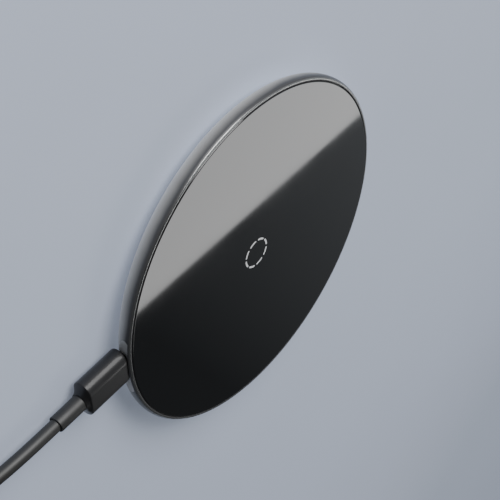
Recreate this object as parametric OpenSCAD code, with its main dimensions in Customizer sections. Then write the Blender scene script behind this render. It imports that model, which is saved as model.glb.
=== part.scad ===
// Round wireless charging pad with a plug-in USB-C supply lead.
// Frame: +Z up, origin on the desk under the pad's centre, port facing +Y. Millimetres.

/* [Pad] */
// Outside diameter of the metal rim
pad_d = 100; // [99:0.5:102]
// Height of the glass above the desk
pad_h = 7.5; // [7.5:0.1:7.8]
// How far the rim's side curves in from top to bottom
side_tuck = 6; // [5:0.5:6]
// Width of the rim's rolled top edge
roll_w = 0.8; // [0.6:0.1:0.8]
// Height of the rim's rolled top edge
roll_h = 1.6; // [1.3:0.1:1.6]
// Radius of the glass panel
glass_r = 48.7; // [48:0.1:48.7]
// Thickness of the glass panel
glass_t = 0.7; // [0.6:0.1:0.8]
// How far the silicone foot stands proud of the underside
foot_proud = 0.5; // [0.4:0.1:0.5]

/* [Charging coil] */
// Turns of litz wire in the flat winding
coil_turns = 10; // [6:1:10]
// Inner radius of the winding
coil_inner_r = 10.5; // [9:0.5:11]
// Radial distance from one turn to the next
coil_pitch = 1.1; // [0.9:0.1:1.1]
// Radius of the ferrite disc under the winding
ferrite_r = 25; // [23:0.5:25]

/* [Port and plug] */
// Height of the port's centre above the desk
port_z = 3.75; // [3.75:0.05:3.85]
// Width of the plug's moulded body
plug_w = 11.2; // [10.5:0.1:12]
// Thickness of the plug's moulded body
plug_t = 5.7; // [5.2:0.1:5.8]
// Length of the plug's moulded body, without shoulder and neck
plug_body_len = 14; // [14:0.5:15]
// Outside diameter of the neck where the cable enters the plug
neck_d = 4.5; // [4.4:0.1:4.8]

/* [Cable] */
// Diameter of the supply cable
cable_d = 3.5; // [3.3:0.1:3.5]
// Radius at the middle of the stored coil's turns
hank_r = 18.25; // [18.25:0.25:19]

/* [Hidden] */
$fn = 96;
eps = 0.01;

// Pad heights
pad_r = pad_d / 2;
base_z = foot_proud;
rim_top_z = pad_h - 0.1;
widest_z = rim_top_z - roll_h;
belly_z = 2.2;
glass_z = pad_h - glass_t;
adhesive_t = 0.15;
ledge_z = glass_z - adhesive_t;

// Rim and bottom cover
glass_gap = 0.15;
glass_edge = 0.35;
mark_r = 4.2;
mark_w = 0.55;
mark_t = 0.03;
mark_dash_count = 8;
mark_dash_angle = 28;
ledge_r = 45.6;
ledge_t = 0.8;
rim_inner_r = 46.6;
flange_r = 41.6;
flange_z = 1.8;
cover_r = 43.6;
cover_t = 0.7;
cover_top_z = base_z + cover_t;
cover_gap = 0.15;
spigot_t = 1;

// Foot and cover screws
foot_mid_r = 36;
foot_w = 5.6;
foot_sunk = 0.3;
screw_angles = [20, 160, 220, 320];
screw_head_r = 1.6;
screw_r = 0.9;
pilot_r = 0.95;
screw_seat_z = 1.4;
screw_tip_z = 3.6;
boss_r = 2.4;

// Carrier, ferrite and winding
coil_t = 1.1;
cushion_t = 0.25;
coil_top_z = glass_z - cushion_t;
coil_z = coil_top_z - coil_t;
coil_tape_t = 0.1;
ferrite_top_z = coil_z - coil_tape_t;
carrier_top_z = ferrite_top_z - 0.75;
carrier_t = 0.8;
carrier_r = 45.2;
skirt_t = 1.6;
wire_w = coil_pitch - 0.1;
coil_outer_r = coil_inner_r + coil_turns * coil_pitch;
slot_x = -3.8;
slot_w = 4.8;

// Circuit board
board_y = 27.5;
board_r = 43;
board_z = 2.4;
board_t = 0.8;
board_top_z = board_z + board_t;
board_half_w = 34;
board_screw_xy = [25, 30];
board_screw_r = 0.75;

// Port
land_y = 49;
land_w = 24;
lip_z = 6.8;
port_inner = [8.94, 3.16];
port_wall = 0.25;
port_outer = [port_inner[0] + 2 * port_wall, port_inner[1] + 2 * port_wall];
port_back_y = 41;
port_front_y = 47.6;
tongue_w = 6.69;
tongue_t = 0.7;
tongue_front_y = 47;
contact_pitch = 0.5;
contact_w = 0.25;

// Plug in the port
plug_front_y = land_y + 0.3;
plug_tip_y = plug_front_y - 6.65;
shell_size = [8.25, 2.4];
core_size = [7.7, 1.86];
core_slot = [7.1, 1.2];
plug_edge = 0.5;
shoulder_len = 1.2;
neck_len = 8.5;
neck_bore_len = 1.2;
neck_bore_gap = 0.2;
shoulder_y = plug_front_y + plug_body_len;
neck_y = shoulder_y + shoulder_len;
neck_end_y = neck_y + neck_len;
cable_start_y = neck_end_y - neck_bore_len;

// Cable: the stretch from the plug to the stored coil, and from the coil to the supply plug
cable_r = cable_d / 2;
tie_t = 0.5;
hank_x = 25.25;
hank_y = 128;
hank_z = tie_t;
hank_rows_r = [hank_r - 8.75, hank_r - 7, hank_r + 7, hank_r + 8.75];
hank_h = 6.6;
lead_route = [
    [0, 71.8, 3.75], [0, 76, 3.75], [0, 82, 3.72], [0, 88, 3.55], [0, 93, 3.25], [0, 98, 2.8],
    [0, 102, 2.4], [0, 106, 2.05], [0, 110, 1.8], [0, 113, 1.8], [0, 115.5, 1.95], [0, 118.6, 2.25]
];
supply_x = 1.75;
supply_z = 3.8;
tail_route = [
    [1.75, 141.1, 5.34], [1.75, 143, 4.85], [1.75, 145, 4.35], [1.75, 147, 4], [1.75, 149, 3.83],
    [1.75, 150.4, 3.8], [1.75, 151.7, 3.8]
];

// Supply plug at the far end
supply_neck_y = 150.5;
supply_neck_len = 6.8;
supply_shoulder_y = supply_neck_y + supply_neck_len;
supply_body_y = supply_shoulder_y + 1.8;
supply_body_len = 20;
supply_face_y = supply_body_y + supply_body_len;
supply_body_size = [15.6, 7.6];
supply_shell_size = [12, 4.5];
supply_shell_len = 12;
supply_wall = 0.3;

function unit(v) = v / norm(v);
function tangent(p, i) = unit(p[min(i + 1, len(p) - 1)] - p[max(i - 1, 0)]);
function ring_at(p, i, r, sides) =
    [for (k = [0:sides - 1])
        let (a = 360 * k / sides, side = [1, 0, 0], over = cross(tangent(p, i), side))
        p[i] + r * (cos(a) * side + sin(a) * over)];

// Disc standing on height z
module disc(r, z, h) {
    translate([0, 0, z]) cylinder(r = r, h = h);
}

// Flat ring standing on height z
module flat_ring(inner, outer, z, h) {
    difference() {
        disc(outer, z, h);
        disc(inner, z - 1, h + 2);
    }
}

// Bar along Y with a round-ended section, centred on the port's height
module round_bar(size, y, length, z = port_z) {
    end_r = size[1] / 2;
    half = size[0] / 2 - end_r;
    translate([-half, y, z - end_r]) cube([2 * half, length, size[1]]);
    for (x = [-half, half])
        translate([x, y, z]) rotate([-90, 0, 0]) cylinder(r = end_r, h = length);
}

// Cylinder along Y
module rod_y(r, y, length, x = 0, z = port_z) {
    translate([x, y, z]) rotate([-90, 0, 0]) cylinder(r = r, h = length);
}

// Box centred on x and y, standing on z
module chip(x, y, z, size) {
    translate([x - size[0] / 2, y - size[1] / 2, z]) cube(size);
}

// Tube along a route that stays in planes of constant x
module tube(p, r, sides) {
    n = len(p);
    rings = [for (i = [0:n - 1]) ring_at(p, i, r, sides)];
    walls = [for (i = [0:n - 2]) for (k = [0:sides - 1])
        let (a = i * sides + k, b = i * sides + (k + 1) % sides)
        [a, a + sides, b + sides, b]];
    ends = [[for (k = [0:sides - 1]) k], [for (k = [sides - 1:-1:0]) (n - 1) * sides + k]];
    polyhedron(points = [for (g = rings) each g], faces = concat(walls, ends), convexity = 4);
}

// Pan-head screw with a cross slot: up = 1 drives it upwards with its head under the seat, up = -1 downwards
module screw(seat_z, tip_z, head_r, shaft_r, head_t, up = 1) {
    difference() {
        translate([0, 0, up > 0 ? seat_z - head_t : seat_z]) cylinder(r = head_r, h = head_t);
        for (a = [0, 90])
            rotate(a) translate([-head_r * 0.55, -0.15, up > 0 ? seat_z - head_t - 1 : seat_z + head_t - 0.3])
                cube([head_r * 1.1, 0.3, 1.3]);
    }
    translate([0, 0, up > 0 ? seat_z : tip_z]) cylinder(r = shaft_r, h = abs(tip_z - seat_z));
}

// Rim's section: outside curve, rounded top edge, glass seat, inner wall and bottom flange
module rim_section() {
    steps = 16;
    side = [for (i = [0:steps]) let (t = 1 - i / steps)
        [pad_r - side_tuck * t * t,
         widest_z * (1 - t) * (1 - t) + belly_z * 2 * t * (1 - t) + base_z * t * t]];
    edge = [for (i = [1:8]) let (a = 90 * i / 8)
        [pad_r - roll_w + roll_w * cos(a), widest_z + roll_h * sin(a)]];
    polygon(concat(
        [[cover_r, base_z]], side, edge,
        [
            [glass_r + glass_gap, rim_top_z], [glass_r + glass_gap, ledge_z],
            [ledge_r, ledge_z], [ledge_r, ledge_z - ledge_t],
            [rim_inner_r, ledge_z - ledge_t - 1], [rim_inner_r, 3],
            [ledge_r - 0.2, flange_z], [flange_r, flange_z],
            [flange_r, cover_top_z], [cover_r, cover_top_z]
        ]));
}

// Ring of dashes sunk to their own thickness in the glass, with some height over it
module mark_dashes(over = 0) {
    for (i = [0:mark_dash_count - 1])
        rotate(i * 360 / mark_dash_count) rotate_extrude(angle = mark_dash_angle)
            translate([mark_r - mark_w / 2, pad_h - mark_t]) square([mark_w, mark_t + over]);
}

module glass_panel() {
    color("black") difference() {
        rotate_extrude() polygon(concat(
            [[0, glass_z], [glass_r, glass_z]],
            [for (i = [0:6]) let (a = 15 * i)
                [glass_r - glass_edge + glass_edge * cos(a), pad_h - glass_edge + glass_edge * sin(a)]],
            [[0, pad_h]]));
        mark_dashes(1);
    }
}

module charge_mark() {
    color("white") mark_dashes();
}

module panel_adhesive() {
    color("dimgray") flat_ring(ledge_r + 0.4, glass_r - 0.4, ledge_z, adhesive_t);
}

module rim_frame() {
    color("dimgray") difference() {
        rotate_extrude() rim_section();
        translate([-land_w / 2, land_y, 0]) cube([land_w, 10, lip_z]);
        round_bar([port_outer[0] + 0.2, port_outer[1] + 0.2], rim_inner_r - 8, 20);
    }
}

module bottom_cover() {
    color([0.12, 0.12, 0.13]) difference() {
        union() {
            disc(cover_r - cover_gap, base_z, cover_t);
            flat_ring(flange_r - 0.2 - spigot_t, flange_r - 0.2, cover_top_z - eps, flange_z - cover_top_z);
            for (a = screw_angles) rotate(a) translate([foot_mid_r, 0, 0])
                disc(3, cover_top_z - eps, flange_z - cover_top_z + eps);
            for (s = [-1, 1]) translate([s * board_screw_xy[0], board_screw_xy[1], 0])
                disc(2, cover_top_z - eps, board_z - cover_top_z + eps);
        }
        flat_ring(foot_mid_r - foot_w / 2 - 0.2, foot_mid_r + foot_w / 2 + 0.2, base_z - 1, 1 + foot_sunk);
        for (a = screw_angles) rotate(a) translate([foot_mid_r, 0, 0]) {
            disc(screw_head_r + 0.2, 0, screw_seat_z);
            disc(screw_r + 0.2, 0, 5);
        }
        for (s = [-1, 1]) translate([s * board_screw_xy[0], board_screw_xy[1], 0])
            disc(board_screw_r + 0.05, cover_top_z, 5);
    }
}

module foot_ring() {
    color([0.08, 0.08, 0.08])
        flat_ring(foot_mid_r - foot_w / 2, foot_mid_r + foot_w / 2, 0, foot_proud + foot_sunk);
}

module cover_screws() {
    color("silver") for (a = screw_angles) rotate(a) translate([foot_mid_r, 0, 0])
        screw(screw_seat_z, screw_tip_z, screw_head_r, screw_r, 0.55);
}

module coil_carrier() {
    plate_z = carrier_top_z - carrier_t;
    color("gainsboro") difference() {
        union() {
            disc(carrier_r, plate_z, carrier_t);
            flat_ring(carrier_r - skirt_t, carrier_r, flange_z, plate_z - flange_z + eps);
            flat_ring(ferrite_r + 0.2, ferrite_r + 1.2, carrier_top_z - eps, 0.8);
            for (a = screw_angles) rotate(a) translate([foot_mid_r, 0, 0])
                disc(boss_r, flange_z, plate_z - flange_z + eps);
        }
        translate([-board_half_w, board_y - 0.7, 0]) cube([2 * board_half_w, 30, 10]);
        translate([slot_x, 10, carrier_top_z]) cube([2 * -slot_x, 20, 2]);
        for (a = screw_angles) rotate(a) translate([foot_mid_r, 0, 0])
            disc(pilot_r, flange_z - 1, screw_tip_z - flange_z + 1.2);
    }
}

module ferrite_disc() {
    color("darkslategray") difference() {
        disc(ferrite_r, carrier_top_z, ferrite_top_z - carrier_top_z);
        translate([slot_x, -1, carrier_top_z - 1]) cube([slot_w, 40, 4]);
    }
}

module coil_adhesive() {
    color("khaki") difference() {
        flat_ring(coil_inner_r, coil_outer_r, ferrite_top_z, coil_tape_t);
        translate([slot_x, -1, ferrite_top_z - 1]) cube([slot_w, 40, 4]);
    }
}

module charging_coil() {
    per_turn = 24;
    n = coil_turns * per_turn;
    outer = [for (i = [0:n])
        let (a = 90 + 360 * i / per_turn, r = coil_inner_r + coil_pitch * i / per_turn)
        [r * cos(a), r * sin(a)] + wire_w * [cos(a), sin(a)]];
    inner = [for (i = [n:-1:0])
        let (a = 90 + 360 * i / per_turn, r = coil_inner_r + coil_pitch * i / per_turn)
        [r * cos(a), r * sin(a)]];
    color("peru") translate([0, 0, coil_z]) linear_extrude(coil_t) polygon(concat(outer, inner));
}

module coil_leads() {
    lead_r = 0.35;
    color("peru") {
        tube([[-3, 11.4, 5.05], [-3, 14, 4.98], [-3, 20, 4.98], [-3, 25.4, 4.98], [-3, 27, 4.96],
              [-3, 28.4, 4.5], [-3, 29.8, 3.75], [-3, 31.2, 3.56]], lead_r, 8);
        tube([[3, 23.1, 6], [3, 24.4, 5.95], [3, 26, 5.7], [3, 27.6, 5], [3, 29.2, 3.9],
              [3, 31.2, 3.56]], lead_r, 8);
    }
}

module coil_cushion() {
    color("gray") flat_ring(coil_inner_r, coil_outer_r, coil_top_z, cushion_t);
}

module thermistor() {
    color("darkolivegreen") {
        disc(0.9, carrier_top_z + 0.02, 1);
        for (x = [-0.5, 0.5])
            tube([[x, 0.95, 4.98], [x, 10, 4.98], [x, 20, 4.98], [x, 25.4, 4.98], [x, 27, 4.96],
                  [x, 28.4, 4.4], [x, 29.8, 3.65], [x, 31.2, 3.46]], 0.25, 8);
    }
}

module circuit_board() {
    color("darkgreen") difference() {
        disc(board_r, board_z, board_t);
        translate([-50, -50, 0]) cube([100, 50 + board_y, 10]);
        translate([-port_outer[0] / 2 - 0.13, port_back_y - 0.1, 0]) cube([port_outer[0] + 0.26, 20, 10]);
        for (s = [-1, 1]) translate([s * board_screw_xy[0], board_screw_xy[1], 0]) disc(0.9, 0, 10);
    }
}

module board_screws() {
    color("silver") for (s = [-1, 1]) translate([s * board_screw_xy[0], board_screw_xy[1], 0])
        screw(board_top_z, cover_top_z + 0.1, 1.4, board_screw_r, 0.6, -1);
}

module port_shell() {
    tab_in = port_outer[0] / 2 - 0.1;
    color("silver") {
        difference() {
            round_bar(port_outer, port_back_y, port_front_y - port_back_y);
            round_bar(port_inner, port_back_y + port_wall, 20);
        }
        for (s = [-1, 1]) translate([s > 0 ? tab_in : -tab_in - 1.5, port_back_y + 0.4, board_top_z])
            cube([1.5, 1.2, 0.25]);
    }
}

module port_tongue() {
    color([0.1, 0.1, 0.1]) {
        round_bar([port_inner[0] - 0.1, port_inner[1] - 0.1], port_back_y + port_wall, 0.75);
        translate([-tongue_w / 2, port_back_y + 0.9, port_z - tongue_t / 2])
            cube([tongue_w, tongue_front_y - port_back_y - 0.9, tongue_t]);
    }
}

module port_contacts() {
    rows_z = [port_z + tongue_t / 2, port_z - tongue_t / 2 - 0.05];
    color("gold") for (i = [-5.5:1:5.5]) for (z = rows_z)
        translate([i * contact_pitch - contact_w / 2, port_back_y + 1, z]) cube([contact_w, 4.3, 0.05]);
}

module charge_controller() {
    color([0.1, 0.1, 0.1]) chip(-13, 34.5, board_top_z, [5, 5, 0.9]);
}

module bridge_transistors() {
    color([0.14, 0.14, 0.14]) for (x = [8.2, 12.6]) for (y = [30.6, 34.8])
        chip(x, y, board_top_z, [3.3, 3.3, 0.8]);
}

module resonant_capacitors() {
    color("tan") for (x = [17.2, 21.4]) for (y = [29.8, 33.2])
        chip(x, y, board_top_z, [3.2, 2.5, 1.8]);
}

module input_capacitors() {
    color("burlywood") for (x = [-9.8, 9.8]) chip(x, 39, board_top_z, [3.2, 1.6, 1.4]);
}

module power_inductor() {
    color("dimgray") difference() {
        chip(-20, 31.5, board_top_z, [4.1, 4.1, 1.9]);
        for (s = [-1, 1]) chip(-20 + s * 2.05, 31.5, board_top_z + 0.3, [0.5, 3, 1.3]);
    }
}

module sense_resistor() {
    color([0.16, 0.16, 0.17]) chip(-12, 29.6, board_top_z, [6.3, 3.1, 0.6]);
}

module small_passives() {
    color("tan") {
        for (i = [0:3]) chip(-17.8 + 1.6 * i, 38, board_top_z, [0.6, 1, 0.5]);
        for (i = [0:4]) chip(-8.6, 32.2 + 1.2 * i, board_top_z, [1, 0.5, 0.5]);
    }
}

module plug_shell() {
    color("silver") difference() {
        round_bar(shell_size, plug_tip_y, plug_front_y - plug_tip_y);
        round_bar([shell_size[0] - 0.5, shell_size[1] - 0.5], plug_tip_y - 1, 20);
    }
}

module plug_core() {
    color([0.1, 0.1, 0.1]) difference() {
        round_bar(core_size, plug_tip_y + 0.15, plug_front_y - plug_tip_y - 0.15);
        translate([-core_slot[0] / 2, plug_tip_y - 1, port_z - core_slot[1] / 2])
            cube([core_slot[0], 5.95, core_slot[1]]);
    }
}

module plug_contacts() {
    rows_z = [port_z + core_slot[1] / 2 - 0.1, port_z - core_slot[1] / 2];
    color("gold") for (i = [-5.5:1:5.5]) for (z = rows_z)
        translate([i * contact_pitch - contact_w / 2, plug_tip_y + 0.8, z]) cube([contact_w, 3.6, 0.1]);
}

module plug_body() {
    color([0.13, 0.13, 0.14]) {
        hull() {
            round_bar([plug_w - 2 * plug_edge, plug_t - 2 * plug_edge], plug_front_y, 1, $fn = 32);
            round_bar([plug_w, plug_t], plug_front_y + plug_edge, 0.1, $fn = 32);
        }
        round_bar([plug_w, plug_t], plug_front_y + plug_edge, plug_body_len - plug_edge);
        hull() {
            round_bar([plug_w, plug_t], shoulder_y - eps, eps, $fn = 32);
            rod_y(neck_d / 2 + 0.2, neck_y - 0.1, 0.1, $fn = 32);
        }
    }
}

module plug_neck() {
    color([0.13, 0.13, 0.14]) difference() {
        rod_y(neck_d / 2, neck_y, neck_len);
        rod_y(cable_r + neck_bore_gap, cable_start_y, 10);
    }
}

module lead_cable() {
    color([0.11, 0.11, 0.11]) tube(lead_route, cable_r, 8);
}

module tail_cable() {
    color([0.11, 0.11, 0.11]) tube(tail_route, cable_r, 8);
}

module cable_coil() {
    color([0.11, 0.11, 0.11]) translate([hank_x, hank_y, hank_z]) rotate_extrude() polygon([
        [hank_rows_r[0] + 0.8, 0], [hank_rows_r[3] - 0.8, 0], [hank_rows_r[3], 0.9],
        [hank_rows_r[3], 2.8], [hank_rows_r[2], hank_h - 0.9], [hank_rows_r[2] - 0.8, hank_h],
        [hank_rows_r[1] + 0.8, hank_h], [hank_rows_r[1], hank_h - 0.9],
        [hank_rows_r[0], 2.8], [hank_rows_r[0], 0.9]
    ]);
}

module cable_tie() {
    tie_w = 8;
    inner = hank_rows_r[0] - 0.8;
    outer = hank_rows_r[3] + 0.1;
    color([0.2, 0.2, 0.21]) translate([hank_x, hank_y - tie_w / 2, 0]) difference() {
        translate([inner - tie_t, 0, 0]) cube([outer - inner + 2 * tie_t, tie_w, hank_h + 0.1 + 2 * tie_t]);
        translate([inner, -1, tie_t]) cube([outer - inner, tie_w + 2, hank_h + 0.1]);
    }
}

module supply_shell() {
    w = supply_shell_size[0];
    t = supply_shell_size[1];
    color("silver") difference() {
        translate([supply_x - w / 2, supply_face_y, supply_z - t / 2]) cube([w, supply_shell_len, t]);
        translate([supply_x - w / 2 + supply_wall, supply_face_y - 1, supply_z - t / 2 + supply_wall])
            cube([w - 2 * supply_wall, supply_shell_len + 5, t - 2 * supply_wall]);
        for (x = [-2.5, 2.5]) chip(supply_x + x, supply_face_y + 7, supply_z - 5, [2.2, 2.2, 10]);
    }
}

module supply_insert() {
    w = supply_shell_size[0] - 2 * supply_wall - 0.1;
    low_z = supply_z - supply_shell_size[1] / 2 + supply_wall;
    color("ivory") translate([supply_x - w / 2, supply_face_y, low_z])
        cube([w, supply_shell_len - 0.4, 1.9]);
}

module supply_contacts() {
    z = supply_z - supply_shell_size[1] / 2 + supply_wall + 1.9;
    color("gold") for (x = [-3.5, -1, 1, 3.5]) chip(supply_x + x, supply_face_y + 6.5, z, [1, 8, 0.15]);
}

module supply_body() {
    w = supply_body_size[0];
    t = supply_body_size[1];
    edge = 1.2;
    color([0.13, 0.13, 0.14]) {
        hull() for (x = [edge - w / 2, w / 2 - edge]) for (z = [edge - t / 2, t / 2 - edge])
            rod_y(edge, supply_body_y, supply_body_len, supply_x + x, supply_z + z, $fn = 32);
        hull() {
            translate([supply_x - w / 2 + 2, supply_body_y - eps, supply_z - t / 2 + 1.2])
                cube([w - 4, eps, t - 2.4]);
            rod_y(neck_d / 2 + 0.2, supply_shoulder_y, 0.1, supply_x, supply_z, $fn = 32);
        }
    }
}

module supply_neck() {
    color([0.13, 0.13, 0.14]) difference() {
        rod_y(neck_d / 2, supply_neck_y, supply_neck_len, supply_x, supply_z);
        rod_y(cable_r + neck_bore_gap, supply_neck_y - 10, 10 + neck_bore_len, supply_x, supply_z);
    }
}

glass_panel();
charge_mark();
panel_adhesive();
rim_frame();
bottom_cover();
foot_ring();
cover_screws();
coil_carrier();
ferrite_disc();
coil_adhesive();
charging_coil();
coil_leads();
coil_cushion();
thermistor();
circuit_board();
board_screws();
port_shell();
port_tongue();
port_contacts();
charge_controller();
bridge_transistors();
resonant_capacitors();
input_capacitors();
power_inductor();
sense_resistor();
small_passives();
plug_shell();
plug_core();
plug_contacts();
plug_body();
plug_neck();
lead_cable();
cable_coil();
tail_cable();
cable_tie();
supply_shell();
supply_insert();
supply_contacts();
supply_body();
supply_neck();
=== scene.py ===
"""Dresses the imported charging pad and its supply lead, and builds the studio round them.

Sizes are in millimetres unless a name says otherwise, and MM turns them into the frame's metres.
"""

import logging
import math
from abc import ABC, abstractmethod
from collections.abc import Iterable, Sequence
from dataclasses import dataclass
from enum import Enum

import bmesh
import bpy
from mathutils import Matrix, Vector


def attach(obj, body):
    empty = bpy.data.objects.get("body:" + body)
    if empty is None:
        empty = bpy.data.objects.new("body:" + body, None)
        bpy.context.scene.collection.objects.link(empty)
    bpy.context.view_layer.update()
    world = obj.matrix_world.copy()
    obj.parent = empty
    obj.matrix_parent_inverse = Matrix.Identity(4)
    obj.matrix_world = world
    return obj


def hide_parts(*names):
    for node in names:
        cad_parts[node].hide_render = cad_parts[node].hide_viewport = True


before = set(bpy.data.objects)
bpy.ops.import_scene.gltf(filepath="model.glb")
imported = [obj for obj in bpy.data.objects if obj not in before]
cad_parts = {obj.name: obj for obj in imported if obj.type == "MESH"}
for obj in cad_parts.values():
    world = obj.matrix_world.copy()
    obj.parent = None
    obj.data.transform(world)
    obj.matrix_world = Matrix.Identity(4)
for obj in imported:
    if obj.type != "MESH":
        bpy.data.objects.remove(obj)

MM = 0.001
Colour = tuple[float, float, float]
Flat = tuple[float, float]
Spot = tuple[float, float, float]
Socket = bpy.types.NodeSocket

log = logging.getLogger("charging_pad")


class Body(Enum):
    """The two bodies that the pieces ride on."""

    PAD = "pad"
    LEAD = "supply_lead"


class Pattern(Enum):
    """What the fine relief of a finish looks like."""

    GRAIN = "moulded or blasted grain"
    BRUSHED = "fine lines along one axis"
    WOVEN = "over and under threads"
    CELLS = "open foam cells"
    STRANDS = "twisted strands"
    TRACKS = "copper tracks under a mask"


# ---------------------------------------------------------------- finishes


def add_node(tree: bpy.types.NodeTree, kind: str, output: str, links: dict[str | int, Socket],
             values: dict[str | int, object], **settings: str) -> Socket:
    """Adds a node.

    Args:
        tree: where it goes.
        kind: its kind.
        output: the output that is wanted.
        links: sockets that feed its inputs.
        values: constants for its inputs.
        settings: its own properties, which are set first.

    Returns:
        The output.
    """
    node = tree.nodes.new(f"ShaderNode{kind}")
    for label, value in settings.items():
        setattr(node, label, value)
    for label, value in values.items():
        node.inputs[label].default_value = value
    for label, source in links.items():
        tree.links.new(source, node.inputs[label])
    return node.outputs[output]


def map_range(tree: bpy.types.NodeTree, source: Socket, ends: Flat, results: Flat) -> Socket:
    """Maps a value from between two ends onto two results."""
    labels = ("From Min", "From Max", "To Min", "To Max")
    values = dict(zip(labels, (*ends, *results)))
    return add_node(tree, "MapRange", "Result", {"Value": source}, values)


class NodeSheet:
    """A new material with one Principled shader and short ways to add nodes to it."""

    def __init__(self, name: str) -> None:
        """Makes the material under a new name."""
        self.material = bpy.data.materials.new(name)
        self.material.use_nodes = True
        self.tree = self.material.node_tree
        self.tree.nodes.clear()
        self.shader = self.tree.nodes.new("ShaderNodeBsdfPrincipled")
        output = self.tree.nodes.new("ShaderNodeOutputMaterial")
        self.tree.links.new(self.shader.outputs["BSDF"], output.inputs["Surface"])
        self.place = self.tree.nodes.new("ShaderNodeTexCoord").outputs["Object"]

    def put(self, values: dict[str, object]) -> None:
        """Sets constants on the shader's own sockets, by their names."""
        for label, value in values.items():
            self.shader.inputs[label].default_value = value

    def join(self, source: Socket, label: str) -> None:
        """Links a socket to the shader's input of that name."""
        self.tree.links.new(source, self.shader.inputs[label])

    def stretched(self, scale: Sequence[float]) -> Socket:
        """Gives the object's coordinates, scaled by a factor for each axis."""
        return add_node(self.tree, "Mapping", "Vector", {"Vector": self.place}, {"Scale": scale})

    def height_above_desk(self) -> Socket:
        """Gives the height of each point above the desk, in metres."""
        return add_node(self.tree, "SeparateXYZ", "Z", {"Vector": self.place}, {})

    def noise(self, size: float, detail: float = 2.0, place: Socket | None = None) -> Socket:
        """Adds a noise texture.

        Args:
            size: size of its largest patches.
            detail: how many finer octaves it has.
            place: coordinates, the object's own if left out.

        Returns:
            The noise, from about 0 to 1.
        """
        return add_node(self.tree, "TexNoise", "Fac", {"Vector": place or self.place},
                        {"Scale": 1 / (size * MM), "Detail": detail})

    def cells(self, size: float, feature: str = "F1") -> Socket:
        """Adds a Voronoi texture.

        Args:
            size: width of a cell.
            feature: which distance it gives.

        Returns:
            The distance.
        """
        return add_node(self.tree, "TexVoronoi", "Distance", {"Vector": self.place},
                        {"Scale": 1 / (size * MM)}, feature=feature)

    def waves(self, pitch: float, axis: str, bend: float = 0.0) -> Socket:
        """Adds even waves across one axis.

        Args:
            pitch: distance from crest to crest.
            axis: X, Y, Z or DIAGONAL.
            bend: how far noise pushes the waves about.

        Returns:
            The height, from 0 to 1.
        """
        values = {"Scale": math.pi / 10 / (pitch * MM), "Distortion": bend}
        return add_node(self.tree, "TexWave", "Fac", {"Vector": self.place}, values,
                        bands_direction=axis)

    def merge(self, kind: str, first: Socket, second: Socket | float) -> Socket:
        """Joins two values with a Math node.

        Args:
            kind: the operation.
            first: its first value.
            second: its second value.

        Returns:
            The result.
        """
        links, values = {0: first}, {}
        (values if isinstance(second, (int, float)) else links)[1] = second
        return add_node(self.tree, "Math", "Value", links, values, operation=kind)

    def span(self, source: Socket, low: float, high: float,
             start: float = 0.3, end: float = 0.7) -> Socket:
        """Maps a value onto a range.

        Args:
            source: the value.
            low: the result at the start.
            high: the result at the end.
            start: where the range starts.
            end: where the range ends.

        Returns:
            The mapped value.
        """
        return map_range(self.tree, source, (start, end), (low, high))

    def tint(self, source: Socket, dark: Colour, light: Colour) -> Socket:
        """Mixes two colours.

        Args:
            source: 0 for the dark one, 1 for the light one.
            dark: the first colour.
            light: the second colour.

        Returns:
            The colour.
        """
        values = {"A": (*dark, 1), "B": (*light, 1)}
        return add_node(self.tree, "Mix", "Result", {"Factor": source}, values, data_type="RGBA")

    def relief(self, height: Socket, depth: float) -> None:
        """Bumps the surface.

        Args:
            height: the height, from 0 to 1.
            depth: how deep 1 is.
        """
        values = {"Strength": 1.0, "Distance": depth * MM}
        self.join(add_node(self.tree, "Bump", "Normal", {"Height": height}, values), "Normal")


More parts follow.
